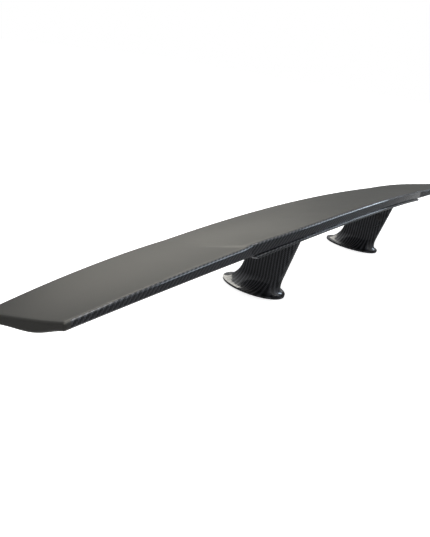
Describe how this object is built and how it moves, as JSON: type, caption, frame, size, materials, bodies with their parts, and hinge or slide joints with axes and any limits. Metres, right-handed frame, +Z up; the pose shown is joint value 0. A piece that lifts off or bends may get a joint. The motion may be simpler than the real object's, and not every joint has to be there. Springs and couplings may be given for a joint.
{
  "type": "racing rear wing",
  "caption": "Drooped carbon-fibre rear wing blade on raked struts with flared bolt-down feet, a creased centre panel, a woven trailing-edge strip and a lower lip.",
  "frame": {"origin": "centre of the rectangle of four base bolt holes, on the plane of the two feet's undersides", "axes": "+X across the car to its right, along the blade; +Y towards the front of the car; +Z up. The trailing edge faces -Y"},
  "size_m": [1.372, 0.1809, 0.1534],
  "materials": {
    "carbon_satin": "black carbon laminate under a satin clear coat",
    "carbon_gloss": "black twill-weave carbon under a gloss clear coat",
    "carbon_inner": "uncoated black carbon laminate",
    "milled_alloy": "milled, clear anodised",
    "bolt_steel": "zinc-plated steel",
    "black_steel": "black-coated steel, satin"
  },
  "bodies": {
    "wing": {"blade_upper_skin": "carbon_satin", "blade_lower_skin": "carbon_gloss", "centre_edge_strip": "carbon_gloss", "left_edge_strip": "carbon_gloss", "right_edge_strip": "carbon_gloss", "lower_lip": "carbon_gloss", "left_tip_cap": "carbon_satin", "right_tip_cap": "carbon_satin", "front_spar": "carbon_inner", "rear_spar": "carbon_inner", "left_outboard_rib": "carbon_inner", "right_outboard_rib": "carbon_inner", "left_mount_ribs": "carbon_inner", "right_mount_ribs": "carbon_inner", "left_mount_block": "milled_alloy", "right_mount_block": "milled_alloy", "left_strut_shell": "carbon_gloss", "right_strut_shell": "carbon_gloss", "left_strut_core": "milled_alloy", "right_strut_core": "milled_alloy", "left_base_plate": "milled_alloy", "right_base_plate": "milled_alloy", "left_blade_bolts": "bolt_steel", "right_blade_bolts": "bolt_steel", "left_fastener_socket": "bolt_steel", "right_fastener_socket": "bolt_steel"},
    "left_cover": {"left_access_cover": "carbon_gloss"},
    "right_cover": {"right_access_cover": "carbon_gloss"},
    "left_fastener": {"left_cover_fastener": "black_steel"},
    "right_fastener": {"right_cover_fastener": "black_steel"}
  },
  "joints": [
    {"name": "left_cover_pull", "type": "slide", "parent": "wing", "child": "left_cover", "axis": [1, 0, 0], "range_m": [0, 0.05]},
    {"name": "right_cover_pull", "type": "slide", "parent": "wing", "child": "right_cover", "axis": [-1, 0, 0], "range_m": [0, 0.05]},
    {"name": "left_fastener_turn", "type": "hinge", "parent": "left_cover", "child": "left_fastener", "pos_m": [-0.19, -0.05074, 0.08157], "axis": [1, 0, 0], "range_deg": [0, 90]},
    {"name": "right_fastener_turn", "type": "hinge", "parent": "right_cover", "child": "right_fastener", "pos_m": [0.19, -0.05074, 0.08157], "axis": [-1, 0, 0], "range_deg": [0, 90]}
  ]
}
